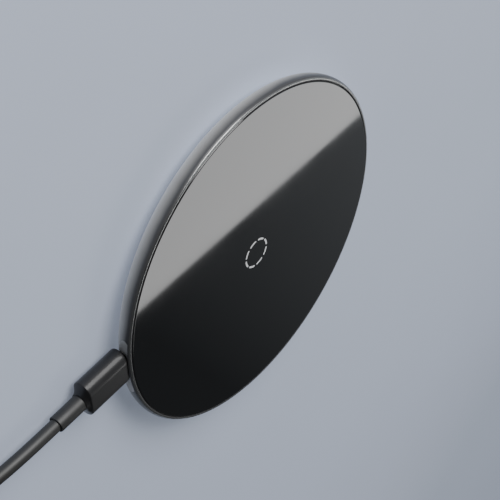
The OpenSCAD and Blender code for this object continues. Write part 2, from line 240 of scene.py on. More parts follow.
@dataclass(frozen=True)
class Finish:
    """A finish with a fine relief, a drift in its colour and a drift in its polish."""

    name: str
    colour: Colour
    roughness: float
    metallic: float = 0.0
    specular: float = 0.5
    pattern: Pattern = Pattern.GRAIN
    grain: float = 0.3
    depth: float = 0.01
    drift: float = 6.0
    mottle: float = 0.12
    polish_drift: float = 0.06
    coat: float = 0.0
    coat_roughness: float = 0.1
    sheen: float = 0.0

    def shade(self, factor: float) -> Colour:
        """Gives the colour made lighter or darker by a factor."""
        return tuple(min(1.0, c * factor) for c in self.colour)

    def height(self, sheet: NodeSheet) -> Socket:
        """Builds the fine relief on a material, and gives its height."""
        if self.pattern is Pattern.BRUSHED:
            return sheet.noise(self.grain, 3, sheet.stretched((1, 0.04, 1)))
        if self.pattern is Pattern.WOVEN:
            across = sheet.waves(self.grain, "Y")
            along = sheet.waves(self.grain, "DIAGONAL")
            return sheet.merge("MAXIMUM", across, along)
        if self.pattern is Pattern.CELLS:
            return sheet.cells(self.grain)
        if self.pattern is Pattern.STRANDS:
            return sheet.waves(self.grain, "DIAGONAL", 1.5)
        if self.pattern is Pattern.TRACKS:
            return sheet.merge("GREATER_THAN", sheet.cells(self.grain, "DISTANCE_TO_EDGE"), 0.06)
        return sheet.noise(self.grain, 4)

    def colour_by(self, sheet: NodeSheet, source: Socket, contrast: float = 1.0) -> None:
        """Sets the colour, darker where a value is 0 and lighter where it is 1.

        Args:
            sheet: the material.
            source: the value.
            contrast: how much further the dark side goes than the light side.
        """
        dark, light = self.shade(1 - contrast * self.mottle), self.shade(1 + self.mottle)
        sheet.join(sheet.tint(source, dark, light), "Base Color")

    def polish_by(self, sheet: NodeSheet, drift: Socket) -> None:
        """Sets the roughness, which drifts to both sides of its mean.

        Args:
            sheet: the material.
            drift: the noise that it follows.
        """
        half = self.polish_drift / 2
        sheet.join(sheet.span(drift, self.roughness - half, self.roughness + half), "Roughness")

    def dress_surface(self, sheet: NodeSheet, height: Socket) -> None:
        """Sets colour and polish; on woven, foam and stranded reliefs the colour paints shade into
        the hollows.

        Args:
            sheet: the material.
            height: its relief.
        """
        drift = sheet.noise(self.drift, 3)
        if self.pattern in (Pattern.GRAIN, Pattern.BRUSHED):
            self.colour_by(sheet, sheet.span(drift, 0, 1))
        else:
            # Colour follows the relief, darker in its low parts: painted shade in the hollows
            # between threads, strands and foam cells; on a board it is the darker gaps between
            # tracks, their own colour.
            self.colour_by(sheet, height, 3.0)
        self.polish_by(sheet, drift)

    def make(self) -> bpy.types.Material:
        """Builds the material, once for each name."""
        label = f"{self.name}_finish"
        known = bpy.data.materials.get(label)
        if known is not None:
            return known
        sheet = NodeSheet(label)
        sheet.put({"Metallic": self.metallic, "Specular IOR Level": self.specular,
                   "Coat Weight": self.coat, "Coat Roughness": self.coat_roughness,
                   "Sheen Weight": self.sheen})
        height = self.height(sheet)
        self.dress_surface(sheet, height)
        sheet.relief(height, self.depth)
        return sheet.material


@dataclass(frozen=True)
class PolishedGlass(Finish):
    """Black-backed glass, polished, with the faint film that fingers leave."""

    film: float = 18.0
    film_ends: Flat = (0.35, 0.75)
    speck: float = 0.8

    def dress_surface(self, sheet: NodeSheet, height: Socket) -> None:
        """Sets colour and polish, as in Finish."""
        self.colour_by(sheet, sheet.noise(self.speck, 1))
        most = self.roughness + self.polish_drift
        film = sheet.span(sheet.noise(self.film, 5), self.roughness, most, *self.film_ends)
        sheet.join(film, "Roughness")


@dataclass(frozen=True)
class PaintedReflectionMetal(Finish):
    """Metal with painted reflection: its colour runs from dark at the top edge to light at the
    foot, as if the lower side mirrored a bright floor and the upper side a dim room.
    """

    light: Colour = (0.98, 0.93, 0.84)
    dark_above: float = 6.5
    light_below: float = 1.6
    waver: float = 0.15
    curve: float = 1.1

    def dress_surface(self, sheet: NodeSheet, height: Socket) -> None:
        """Sets polish as in Finish, and a colour that paints the reflection: dark at the top edge,
        light at the foot.
        """
        drift = sheet.noise(self.drift, 3)
        waver = sheet.span(drift, -self.waver * MM, self.waver * MM)
        level = sheet.merge("ADD", sheet.height_above_desk(), waver)
        # Painted reflection: the lower a point lies, the lighter its colour, whatever the lamps do.
        painted_reflection = sheet.span(level, 1.0, 0.0, self.light_below * MM, self.dark_above * MM)
        painted_reflection = sheet.merge("POWER", painted_reflection, self.curve)
        sheet.join(sheet.tint(painted_reflection, self.colour, self.light), "Base Color")
        self.polish_by(sheet, drift)


@dataclass(frozen=True)
class PaleFloor(Finish):
    """Pale board that also glows a little, as a lit table does."""

    glow: float = 0.2

    def dress_surface(self, sheet: NodeSheet, height: Socket) -> None:
        """Sets colour, polish and glow, as in Finish."""
        super().dress_surface(sheet, height)
        sheet.put({"Emission Color": (*self.colour, 1), "Emission Strength": self.glow})


GLASS = PolishedGlass("panel_glass", (0.004, 0.0044, 0.005), 0.03, specular=1.0, grain=30,
                      depth=0.0002, mottle=0.1, polish_drift=0.02)
INK = Finish("mark_ink", (0.86, 0.87, 0.88), 0.45, grain=0.12, depth=0.004, mottle=0.06)
# The rim's side carries a painted reflection, dark at the top edge and light at the foot.
RIM = PaintedReflectionMetal("rim_satin_painted_reflection", (0.07, 0.07, 0.072), 0.36, metallic=0.3, grain=0.09, depth=0.0008,
                  drift=9.0, polish_drift=0.05)
RIM_CUT = Finish("rim_cut_edge", (0.5, 0.5, 0.49), 0.23, metallic=1.0, grain=0.3, depth=0.0001,
                 mottle=0.04, polish_drift=0.04)
# Lighter land: partly the bare machined metal, partly painted light that stands in for the light
# the plug's shadow takes away.
RIM_LAND = Finish("rim_machined_land_painted_light", (0.5, 0.48, 0.45), 0.42, metallic=0.3, grain=0.1,
                  depth=0.001, mottle=0.05, polish_drift=0.05)
COVER = Finish("cover_plastic", (0.022, 0.022, 0.024), 0.55, grain=0.28, depth=0.02)
SILICONE = Finish("foot_silicone", (0.03, 0.031, 0.033), 0.62, grain=0.5, depth=0.006,
                  mottle=0.15, sheen=0.1)
PLUG = Finish("plug_moulding", (0.013, 0.0125, 0.013), 0.4, specular=0.4, grain=0.14,
              depth=0.003, drift=4.0, mottle=0.12, polish_drift=0.05, coat=0.2, coat_roughness=0.08)
NECK = Finish("neck_moulding", (0.016, 0.0155, 0.0145), 0.5, specular=0.7, grain=0.14,
              depth=0.003, drift=4.0, mottle=0.12, polish_drift=0.05)
JACKET = Finish("cable_jacket", (0.016, 0.0155, 0.014), 0.5, specular=0.75, grain=0.2,
                depth=0.003, drift=12.0, mottle=0.14)
STRAP = Finish("tie_strap", (0.05, 0.05, 0.054), 0.85, pattern=Pattern.WOVEN, grain=0.45,
               depth=0.09, mottle=0.2, sheen=0.3)
SCREW = Finish("screw_steel", (0.55, 0.55, 0.57), 0.3, metallic=1.0, grain=0.2, depth=0.002)
NICKEL = Finish("connector_nickel", (0.62, 0.6, 0.57), 0.24, metallic=1.0,
                pattern=Pattern.BRUSHED, grain=0.06, depth=0.0015, mottle=0.05)
GOLD = Finish("contact_gold", (0.83, 0.58, 0.24), 0.22, metallic=1.0, grain=0.08, depth=0.001)
CONNECTOR = Finish("connector_plastic", (0.018, 0.018, 0.019), 0.42, grain=0.1, depth=0.003)
INSERT = Finish("insert_plastic", (0.72, 0.71, 0.67), 0.4, grain=0.15, depth=0.003, mottle=0.04)
CARRIER = Finish("carrier_plastic", (0.62, 0.63, 0.62), 0.5, grain=0.35, depth=0.01, mottle=0.05)
FERRITE = Finish("ferrite_sheet", (0.045, 0.045, 0.05), 0.48, grain=0.25, depth=0.006, mottle=0.3)
TAPE = Finish("adhesive_tape", (0.16, 0.155, 0.14), 0.5, grain=1.2, depth=0.01, mottle=0.15)
LITZ = Finish("litz_copper", (0.6, 0.26, 0.11), 0.34, metallic=1.0, pattern=Pattern.STRANDS,
              grain=0.32, depth=0.05, mottle=0.2)
FOAM = Finish("cushion_foam", (0.1, 0.1, 0.105), 0.9, pattern=Pattern.CELLS, grain=0.35,
              depth=0.1, mottle=0.2)
BEAD = Finish("thermistor_bead", (0.05, 0.06, 0.035), 0.35, grain=0.4, depth=0.01, coat=0.3)
LAMINATE = Finish("board_laminate", (0.012, 0.09, 0.035), 0.35, pattern=Pattern.TRACKS,
                  grain=1.6, depth=0.02, mottle=0.25, coat=0.4)
EPOXY = Finish("chip_epoxy", (0.02, 0.02, 0.021), 0.52, grain=0.12, depth=0.004)
CERAMIC = Finish("ceramic", (0.48, 0.35, 0.22), 0.42, grain=0.2, depth=0.003, mottle=0.15)
INDUCTOR = Finish("inductor_body", (0.09, 0.09, 0.095), 0.5, grain=0.15, depth=0.01, mottle=0.25)
FLOOR = PaleFloor("studio_floor", (0.45, 0.5, 0.61), 0.75, grain=0.7, depth=0.004,
                  drift=60.0, mottle=0.015, specular=0.2, glow=0.28)


# ---------------------------------------------------------------- shapes


@dataclass
class Skin:
    """Points and faces of a mesh before it becomes an object."""

    points: list[Sequence[float]]
    faces: list[list[int]]


def arc(centre: Flat, radius: Flat, start: float, end: float, steps: int) -> list[Flat]:
    """Points along an elliptic arc.

    Args:
        centre: its centre.
        radius: its two half axes.
        start: first angle in degrees.
        end: last angle in degrees.
        steps: number of stretches between points.

    Returns:
        The points, both ends included.
    """
    angles = [math.radians(start + (end - start) * i / steps) for i in range(steps + 1)]
    return [(centre[0] + radius[0] * math.cos(a), centre[1] + radius[1] * math.sin(a))
            for a in angles]


def rounded_section(width: float, height: float, corner: float, count: int = 120) -> list[Flat]:
    """Outline of a box with round corners, sampled along even rays so that any two sizes match.

    Args:
        width: whole width.
        height: whole height.
        corner: corner radius, half the height for a round-ended bar.
        count: number of points.

    Returns:
        The closed outline, anticlockwise.
    """
    flat_x, flat_y = width / 2 - corner, height / 2 - corner
    outline: list[Flat] = []
    for i in range(count):
        angle = 2 * math.pi * (i + 0.5) / count
        dx, dy = math.cos(angle), math.sin(angle)
        to_top, to_side = height / 2 / abs(dy), width / 2 / abs(dx)
        if to_top * abs(dx) <= flat_x:
            reach = to_top
        elif to_side * abs(dy) <= flat_y:
            reach = to_side
        else:
            ahead = abs(dx) * flat_x + abs(dy) * flat_y
            reach = ahead + math.sqrt(ahead ** 2 - flat_x ** 2 - flat_y ** 2 + corner ** 2)
        outline.append((reach * dx, reach * dy))
    return outline


def revolve(section: Sequence[Flat], sides: int) -> Skin:
    """Turns a closed section of (radius, height) points round the Z axis.

    Args:
        section: the closed section.
        sides: number of stretches round the circle.

    Returns:
        The skin, with a single point wherever the radius is 0.
    """
    points: list[Sequence[float]] = []
    rows: list[list[int]] = []
    for radius, height in section:
        if radius == 0:
            rows.append([len(points)] * sides)
            points.append((0, 0, height))
            continue
        rows.append(list(range(len(points), len(points) + sides)))
        points += [(radius * math.cos(2 * math.pi * k / sides),
                    radius * math.sin(2 * math.pi * k / sides), height) for k in range(sides)]
    faces = []
    for row, after in zip(rows, rows[1:] + rows[:1]):
        for k in range(sides):
            n = (k + 1) % sides
            corners = list(dict.fromkeys((row[k], row[n], after[n], after[k])))
            if len(corners) > 2:
                faces.append(corners)
    return Skin(points, faces)


def loft(rings: Sequence[Sequence[Sequence[float]]], closed: bool = False) -> Skin:
    """Joins rings that have the same number of points.

    Args:
        rings: the rings, in order.
        closed: True joins the last ring to the first, False caps both ends.

    Returns:
        The skin.
    """
    count = len(rings[0])
    points = [p for ring in rings for p in ring]
    starts = [i * count for i in range(len(rings))]
    pairs = list(zip(starts, starts[1:]))
    if closed:
        pairs.append((starts[-1], 0))
    faces = [[a + k, a + (k + 1) % count, b + (k + 1) % count, b + k]
             for a, b in pairs for k in range(count)]
    if not closed:
        faces += [list(range(count)), list(range(starts[-1], starts[-1] + count))]
    return Skin(points, faces)


def along_y(section: Sequence[Flat], y: float, x: float = 0.0, z: float = 0.0) -> list[Spot]:
    """Stands a section across the Y axis.

    Args:
        section: points of (x, z).
        y: where it stands.
        x: shift along X.
        z: shift along Z.

    Returns:
        The ring.
    """
    return [(x + px, y, z + pz) for px, pz in section]


def between(first: Sequence[Flat], last: Sequence[Flat], share: float) -> list[Flat]:
    """Blends two sections.

    Args:
        first: section at share 0.
        last: section at share 1.
        share: how far along.

    Returns:
        The blended section.
    """
    return [(a[0] + (b[0] - a[0]) * share, a[1] + (b[1] - a[1]) * share)
            for a, b in zip(first, last)]


def ease(share: float) -> float:
    """Smooth step from 0 to 1."""
    s = min(1.0, max(0.0, share))
    return s * s * (3 - 2 * s)


def build(name: str, skins: Iterable[Skin], crease: float = 32.0) -> bpy.types.Object:
    """Makes one smooth-shaded object from skins.

    Args:
        name: name of the object.
        skins: its skins, in millimetres.
        crease: edges sharper than this many degrees stay sharp.

    Returns:
        The object.
    """
    shape = bmesh.new()
    for skin in skins:
        corners = [shape.verts.new(Vector(p) * MM) for p in skin.points]
        for face in skin.faces:
            shape.faces.new([corners[i] for i in face])
    bmesh.ops.recalc_face_normals(shape, faces=shape.faces)
    mesh = bpy.data.meshes.new(name)
    shape.to_mesh(mesh)
    shape.free()
    piece = bpy.data.objects.new(name, mesh)
    bpy.context.scene.collection.objects.link(piece)
    smooth(piece, crease)
    return piece


def smooth(piece: bpy.types.Object, crease: float) -> None:
    """Shades a piece smooth but for its sharp edges.

    Args:
        piece: the object.
        crease: edges sharper than this many degrees stay sharp.
    """
    piece.data.polygons.foreach_set("use_smooth", [True] * len(piece.data.polygons))
    piece.data.set_sharp_from_angle(angle=math.radians(crease))


def cut_away(piece: bpy.types.Object, cutters: Sequence[bpy.types.Object], crease: float) -> None:
    """Cuts other objects out of a piece and removes them.

    Args:
        piece: what is cut.
        cutters: what is cut out of it.
        crease: edges sharper than this many degrees stay sharp.
    """
    for cutter in cutters:
        knife = piece.modifiers.new(cutter.name, "BOOLEAN")
        knife.operation, knife.solver, knife.object = "DIFFERENCE", "EXACT", cutter
    bpy.context.view_layer.update()
    graph = bpy.context.evaluated_depsgraph_get()
    cut = bpy.data.meshes.new_from_object(piece.evaluated_get(graph))
    piece.modifiers.clear()
    piece.data = cut
    for cutter in cutters:
        bpy.data.objects.remove(cutter)
    smooth(piece, crease)


def settle(piece: bpy.types.Object, body: Body, finish: Finish) -> bpy.types.Object:
    """Gives a new piece its body and finish.

    Args:
        piece: the piece, already in place.
        body: what it rides on.
        finish: its finish.

    Returns:
        The piece.
    """
    if not piece.data.materials:
        piece.data.materials.append(finish.make())
    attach(piece, body.value)
    log.info("%s rides on %s", piece.name, body.value)
    return piece


def dress(finish: Finish, *nodes: str) -> None:
    """Gives carried-over solids a finish.

    Args:
        finish: the finish.
        nodes: names of the solids.
    """
    for name in nodes:
        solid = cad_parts[name]
        if not solid.material_slots:
            solid.data.materials.append(None)
        for holder in solid.material_slots:
            holder.material = finish.make()
        log.info("%s is finished in %s", name, finish.name)


# ---------------------------------------------------------------- studio


@dataclass(frozen=True)
class Viewpoint:
    """Long-lens camera, turned about its own axis so that the pad stands up in the frame."""

    azimuth: float = 124.8
    elevation: float = 26.85
    roll: float = 240.84
    distance: float = 450.0
    lens: float = 123.44
    aim: Spot = (0.0, 0.0, 7.1)
    slide_right: float = -1.34
    slide_up: float = 0.58

    def axes(self) -> tuple[Vector, Vector, Vector]:
        """Gives the camera's right, up and backward directions."""
        a, e, r = (math.radians(v) for v in (self.azimuth, self.elevation, self.roll))
        back = Vector((math.sin(a) * math.cos(e), -math.cos(a) * math.cos(e), math.sin(e)))
        level = Vector((math.cos(a), math.sin(a), 0))
        rise = back.cross(level)
        right = level * math.cos(r) - rise * math.sin(r)
        return right, level * math.sin(r) + rise * math.cos(r), back

    def place(self) -> None:
        """Makes the camera and gives it to the scene."""
        right, up, back = self.axes()
        data = bpy.data.cameras.new("camera")
        data.lens = self.lens
        data.clip_start = 0.01
        camera = bpy.data.objects.new("camera", data)
        bpy.context.scene.collection.objects.link(camera)
        spot = Vector(self.aim) + back * self.distance
        spot += right * self.slide_right + up * self.slide_up
        turn = Matrix((right, up, back)).transposed().to_4x4()
        camera.matrix_world = Matrix.Translation(spot * MM) @ turn
        bpy.context.scene.camera = camera


@dataclass(frozen=True)
class SoftBox:
    """A rectangular lamp with a diffuser."""

    name: str
    spot: Spot
    aim: Spot
    width: float
    height: float
    radiance: float
    tilt: float = 0.0

    def hang(self) -> None:
        """Makes the lamp."""
        data = bpy.data.lights.new(self.name, "AREA")
        data.shape = "RECTANGLE"
        data.size, data.size_y = self.width * MM, self.height * MM
        data.energy = self.radiance * math.pi * data.size * data.size_y
        lamp = bpy.data.objects.new(self.name, data)
        lamp.visible_camera = False
        bpy.context.scene.collection.objects.link(lamp)
        back = (Vector(self.spot) - Vector(self.aim)).normalized()
        turn = (-back).to_track_quat("-Z", "Y").to_matrix().to_4x4()
        lamp.matrix_world = (Matrix.Translation(Vector(self.spot) * MM) @ turn
                             @ Matrix.Rotation(math.radians(self.tilt), 4, "Z"))


@dataclass(frozen=True)
class Studio:
    """Pale floor, dim surroundings and soft boxes."""

    floor_half: float = 1500.0
    floor_drop: float = 0.02
    ambient: Flat = (0.065, 0.37)
    lit_side: Spot = (0.5, -0.866, 0.0)
    lit_from: float = 0.22
    lamps: tuple[SoftBox, ...] = (
        SoftBox("card_behind", (-193.8, -177.2, 206.4), (-111.7, -120.1, 206.4), 200, 120, 2.45,
                tilt=-21.5),
        SoftBox("key_side", (650, -130, 450), (0, 0, 0), 540, 540, 7.5),
    )

    def set_up(self) -> None:
        """Makes the floor, the surroundings and the lamps."""
        h, z = self.floor_half, -self.floor_drop
        corners = [(-h, -h, z), (h, -h, z), (h, h, z), (-h, h, z)]
        ground = build("studio_ground", [Skin(corners, [[0, 1, 2, 3]])])
        ground.data.materials.append(FLOOR.make())
        self.surround()
        for lamp in self.lamps:
            lamp.hang()

    def surround(self) -> None:
        """Makes the dim room, a little lighter on one side."""
        world = bpy.data.worlds.new("surroundings")
        world.use_nodes = True
        tree = world.node_tree
        air = tree.nodes["Background"]
        air.inputs["Color"].default_value = (0.9, 0.95, 1.0, 1)
        gaze = add_node(tree, "TexCoord", "Generated", {}, {})
        towards = add_node(tree, "VectorMath", "Value", {0: gaze}, {1: self.lit_side},
                           operation="DOT_PRODUCT")
        strength = map_range(tree, towards, (0.0, self.lit_from), self.ambient)
        tree.links.new(strength, air.inputs["Strength"])
        bpy.context.scene.world = world


# ---------------------------------------------------------------- pad


@dataclass(frozen=True)
class PadShell:
    """Everything of the pad that can be seen: rim, glass, printed ring, foot and cover."""

    radius: float = 50.0
    top: float = 7.5
    base: float = 0.5
    glass_radius: float = 48.7
    glass_thickness: float = 0.7
    glass_edge: float = 0.35
    gap: float = 0.15
    rim_top: float = 7.4
    roll: Flat = (0.8, 1.6)
    belly: float = 2.2
    tuck: float = 6.0
    cut_from: float = 49.2
    cut_above: float = 7.16
    land_half: float = 12.0
    land_y: float = 49.0
    land_top: float = 6.8
    ledge_drop: float = 0.15
    ledge_radius: float = 45.6
    wall_radius: float = 46.6
    cover_seat: Flat = (43.6, 1.2)
    floor_lip: Flat = (41.6, 1.8)
    port_hole: Flat = (9.64, 3.86)
    port_z: float = 3.75
    mark_radius: float = 4.2
    mark_width: float = 0.55
    mark_dashes: int = 8
    mark_sweep: float = 28.0
    mark_rise: float = 0.015
    mark_sink: float = 0.01
    foot_radius: float = 36.0
    foot_width: float = 5.6
    groove_pitch: float = 1.4
    sides: int = 384

    def rim_section(self) -> list[Flat]:
        """Outlines the rim: base, curved side, rolled edge, glass seat and inner wall."""
        widest = self.rim_top - self.roll[1]
        side_steps, roll_steps, bevel = 28, 18, 0.06
        side = []
        for i in range(side_steps + 1):
            t = 1 - i / side_steps
            side.append((self.radius - self.tuck * t * t,
                         widest * (1 - t) ** 2 + self.belly * 2 * t * (1 - t) + self.base * t * t))
        edge = arc((self.radius - self.roll[0], widest), self.roll, 0, 90, roll_steps)[1:]
        seat = self.glass_radius + self.gap
        ledge = self.top - self.glass_thickness - self.ledge_drop
        lip, lip_top = self.floor_lip
        cover, cover_top = self.cover_seat
        inner = [(seat + bevel, self.rim_top), (seat, self.rim_top - bevel), (seat, ledge),
                 (self.ledge_radius, ledge), (self.ledge_radius, ledge - 0.8),
                 (self.wall_radius, ledge - 1.8), (self.wall_radius, lip_top + 1.2),
                 (self.wall_radius - 1.2, lip_top), (lip, lip_top), (lip, cover_top),
                 (cover, cover_top), (cover, self.base)]
        return side + edge + inner

    def rim(self) -> None:
        """Builds the rim with its flat land and port hole."""
        rim = build("rim_shell", [revolve(self.rim_section(), self.sides)])
        inside, reach = self.radius - 6, self.radius + 3
        corner, crease, facing, slack = 0.3, 24, 0.99, 0.1
        land = rounded_section(2 * self.land_half, 2 * self.land_top, corner)
        hole = rounded_section(*self.port_hole, self.port_hole[1] / 2)
        land_rings = [along_y(land, y) for y in (self.land_y, reach)]
        hole_rings = [along_y(hole, y, z=self.port_z) for y in (inside, reach)]
        cutters = [build("land_cutter", [loft(land_rings)]),
                   build("hole_cutter", [loft(hole_rings)])]
        cut_away(rim, cutters, crease)
        for finish in (RIM, RIM_CUT, RIM_LAND):
            rim.data.materials.append(finish.make())
        for face in rim.data.polygons:
            middle = face.center / MM
            if middle.z > self.cut_above and middle.xy.length > self.cut_from:
                face.material_index = 1
            # Land faces get the lighter finish, which is partly painted light.
            elif face.normal.y > facing and middle.y > self.land_y - slack:
                face.material_index = 2
        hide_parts("rim_frame")
        settle(rim, Body.PAD, RIM)

    def glass(self) -> None:
        """Builds the glass panel with its ground edge."""
        low, edge, chamfer = self.top - self.glass_thickness, self.glass_edge, 0.1
        section = [(0, low), (self.glass_radius - chamfer, low),
                   (self.glass_radius, low + chamfer)]
        section += arc((self.glass_radius - edge, self.top - edge), (edge, edge), 0, 90, 8)
        flat = self.glass_radius - edge - 0.05
        section += [(r, self.top) for r in (flat, self.glass_radius / 2, 0)]
        panel = build("glass_plate", [revolve(section, self.sides)])
        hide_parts("glass_panel")
        settle(panel, Body.PAD, GLASS)

    def mark(self) -> None:
        """Builds the printed ring of dashes, each with round ends."""
        skins = []
        middle, half, steps = self.mark_radius, self.mark_width / 2, 12
        sweep = math.radians(self.mark_sweep)
        cap = [math.radians(a) for a in range(30, 180, 30)]
        for dash in range(self.mark_dashes):
            start = math.radians(dash * 360 / self.mark_dashes)
            stops = [start + sweep * i / steps for i in range(steps + 1)]
            outline = [(middle + half, stop) for stop in stops]
            outline += [(middle + half * math.cos(a), start + sweep + half * math.sin(a) / middle)
                        for a in cap]
            outline += [(middle - half, stop) for stop in reversed(stops)]
            outline += [(middle - half * math.cos(a), start - half * math.sin(a) / middle)
                        for a in cap]
            rings = [[(r * math.cos(a), r * math.sin(a), z) for r, a in outline]
                     for z in (self.top - self.mark_sink, self.top + self.mark_rise)]
            skins.append(loft(rings))
        ring = build("printed_ring", skins)
        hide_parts("charge_mark")
        settle(ring, Body.PAD, INK)

    def foot(self) -> None:
        """Builds the silicone foot with rounded edges and three grip grooves."""
        half, top, edge = self.foot_width / 2, 0.8, 0.2
        inner, outer = self.foot_radius - half, self.foot_radius + half
        section = [(inner, top), (inner, edge)]
        section += arc((inner + edge, edge), (edge, edge), 180, 270, 4)[1:]
        groove = ((-0.3, 0), (-0.18, 0.12), (0.18, 0.12), (0.3, 0))
        for k in range(-1, 2):
            middle = self.foot_radius + self.groove_pitch * k
            section += [(middle + aside, height) for aside, height in groove]
        section += arc((outer - edge, edge), (edge, edge), 270, 360, 4) + [(outer, top)]
        foot = build("silicone_foot", [revolve(section, 192)])
        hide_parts("foot_ring")
        settle(foot, Body.PAD, SILICONE)

    def assemble(self) -> None:
        """Builds the shell and finishes the solids that stay."""
        self.rim()
        self.glass()
        self.mark()
        self.foot()
        dress(COVER, "bottom_cover")
        dress(SCREW, "cover_screws")
        dress(TAPE, "panel_adhesive")


@dataclass(frozen=True)
class PadInside:
    """Charging coil, board and port, which stay as solids with their own finishes."""

    finishes: tuple[tuple[Finish, tuple[str, ...]], ...] = (
        (CARRIER, ("coil_carrier",)),
        (FERRITE, ("ferrite_disc",)),
        (TAPE, ("coil_adhesive",)),
        (LITZ, ("charging_coil", "coil_leads")),
        (FOAM, ("coil_cushion",)),
        (BEAD, ("thermistor",)),
        (LAMINATE, ("circuit_board",)),
        (SCREW, ("board_screws",)),
        (NICKEL, ("port_shell",)),
        (CONNECTOR, ("port_tongue",)),
        (GOLD, ("port_contacts",)),
        (EPOXY, ("charge_controller", "bridge_transistors", "sense_resistor")),
        (CERAMIC, ("resonant_capacitors", "input_capacitors", "small_passives")),
        (INDUCTOR, ("power_inductor",)),
    )

    def assemble(self) -> None:
        """Finishes the inside."""
        for finish, nodes in self.finishes:
            dress(finish, *nodes)


# ---------------------------------------------------------------- supply lead


@dataclass(frozen=True)
class MouldedPlug(ABC):
    """What both plugs share: a moulded body, a round neck, and solids that stay."""

    neck_diameter: float = 4.5
    bore_radius: float = 1.95
    bore_length: float = 1.2
    kept: tuple[tuple[Finish, str], ...] = ()

    @abstractmethod
    def section(self, inset: float = 0.0) -> list[Flat]:
        """Gives the body's section, made smaller all round by an inset."""

    @abstractmethod
    def body(self) -> bpy.types.Object:
        """Builds the moulded body with its shoulder, and returns it."""

    @abstractmethod
    def neck(self) -> bpy.types.Object:
        """Builds the neck, hollow where the cable enters, and returns it."""

    def collar(self) -> list[Flat]:
        """Gives the outline where the shoulder meets the neck."""
        wide = self.neck_diameter + 0.4
        return rounded_section(wide, wide, self.neck_diameter / 2 + 0.2)

    def assemble(self) -> list[object]:
        """Builds the plug and finishes the solids that stay.

        Returns:
            Its pieces and solids.
        """
        pieces: list[object] = [self.body(), self.neck()]
        for finish, node in self.kept:
            dress(finish, node)
            pieces.append(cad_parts[node])
        return pieces


@dataclass(frozen=True)
class PadPlug(MouldedPlug):
    """The plug in the pad's port: moulded body, shoulder, neck and metal shell."""

    width: float = 11.2
    height: float = 5.7
    front: float = 49.3
    length: float = 14.0
    edge: float = 0.5
    rear_edge: float = 0.4
    shoulder: float = 1.2
    neck_length: float = 8.5
    z: float = 3.75
    kept: tuple[tuple[Finish, str], ...] = (
        (NICKEL, "plug_shell"), (CONNECTOR, "plug_core"), (GOLD, "plug_contacts"))

    def section(self, inset: float = 0.0) -> list[Flat]:
        """Gives the body's section, which keeps its round ends."""
        return rounded_section(self.width - 2 * inset, self.height - 2 * inset,
                               self.height / 2 - inset)

    def body(self) -> bpy.types.Object:
        """Builds the moulded body and its shoulder."""
        rear, soft = self.front + self.length, self.rear_edge
        rings = [along_y(self.section(self.edge - dx), self.front + self.edge - dy, z=self.z)
                 for dx, dy in arc((0, 0), (self.edge, self.edge), 90, 0, 6)]
        stops = (self.front + self.edge + 0.05, self.front + 8, rear - 0.45, rear - soft)
        rings += [along_y(self.section(), y, z=self.z) for y in stops]
        bend = 75
        rings += [along_y(self.section(soft - soft * dx), rear - soft + soft * dy, z=self.z)
                  for dx, dy in arc((0, 0), (1, 1), 0, bend, 5)[1:]]
        start = self.section(soft - soft * math.cos(math.radians(bend)))
        steps = 8
        for share in (i / steps for i in range(1, steps + 1)):
            ring = between(start, self.collar(), share ** 0.85)
            rings.append(along_y(ring, rear + self.shoulder * share, z=self.z))
        body = build("pad_plug_body", [loft(rings)], 40)
        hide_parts("plug_body")
        return settle(body, Body.LEAD, PLUG)

    def neck(self) -> bpy.types.Object:
        """Builds the neck, hollow where the cable enters."""
        start = self.front + self.length + self.shoulder
        neck = neck_piece("pad_plug_neck", start, self.neck_length, 1, (0.0, self.z),
                          self.neck_diameter, self.bore_radius, self.bore_length)
        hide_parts("plug_neck")
        return settle(neck, Body.LEAD, NECK)


def neck_piece(name: str, start: float, length: float, way: int, centre: Flat,
               diameter: float, bore: float, bore_length: float) -> bpy.types.Object:
    """Builds a round neck along Y with a bore in its free end.

    Args:
        name: name of the piece.
        start: where it meets the plug.
        length: its length.
        way: 1 if it points along +Y, -1 if along -Y.
        centre: its x and z.
        diameter: outside diameter.
        bore: radius of the bore.
        bore_length: depth of the bore.

    Returns:
        The neck.
    """
    outer, round_off, facets = diameter / 2, 0.22, 48
    stations = [(outer, 0.0), (outer, length * 0.5)]
    stations += [(outer - round_off + dx, length - round_off + dy)
                 for dx, dy in arc((0, 0), (round_off, round_off), 0, 90, 5)]
    stations += [(bore + 0.05, length), (bore, length - 0.06), (bore, length - bore_length)]
    rings = [along_y(rounded_section(2 * r, 2 * r, r, facets), start + way * run, *centre)
             for r, run in stations]
    return build(name, [loft(rings)], 40)


